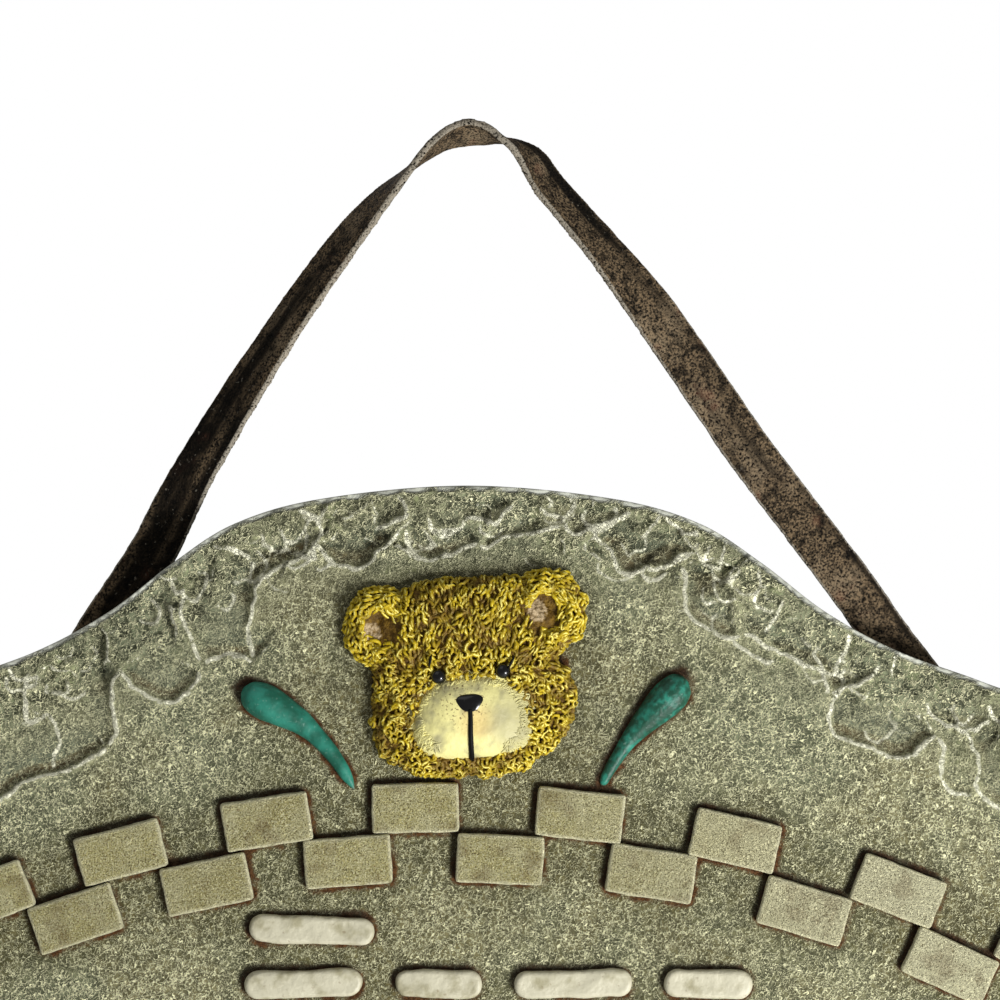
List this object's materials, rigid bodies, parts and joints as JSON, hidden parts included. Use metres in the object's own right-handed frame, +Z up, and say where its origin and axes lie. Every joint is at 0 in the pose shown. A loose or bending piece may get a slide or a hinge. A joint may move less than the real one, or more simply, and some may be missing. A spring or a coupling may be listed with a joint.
{
  "type": "wall plaque",
  "caption": "Arched cast-resin wall plaque with a chipped stone-look edge and a teddy bear's head in relief over a chequered arch, hung from a nail by a flat leather strap.",
  "frame": {"origin": "on the wall plane, right behind the underside of the strap's crest, where the nail that carries the plaque meets the wall", "axes": "+Z up, -Y out of the plaque's front, +Y into the wall, +X to the right as seen from the front; the wall is the plane y = 0"},
  "size_m": [0.2648, 0.0217, 0.2639],
  "materials": {
    "painted_resin": "matt, painted and dry-brushed to look like weathered stone, with gloss paint on the nose, eyes and teardrop marks",
    "aged_leather": "worn suede-like leather, mottled near-black and brown, with raw cut edges"
  },
  "bodies": {
    "root": {"plaque": "painted_resin", "strap": "aged_leather"}
  },
  "joints": []
}
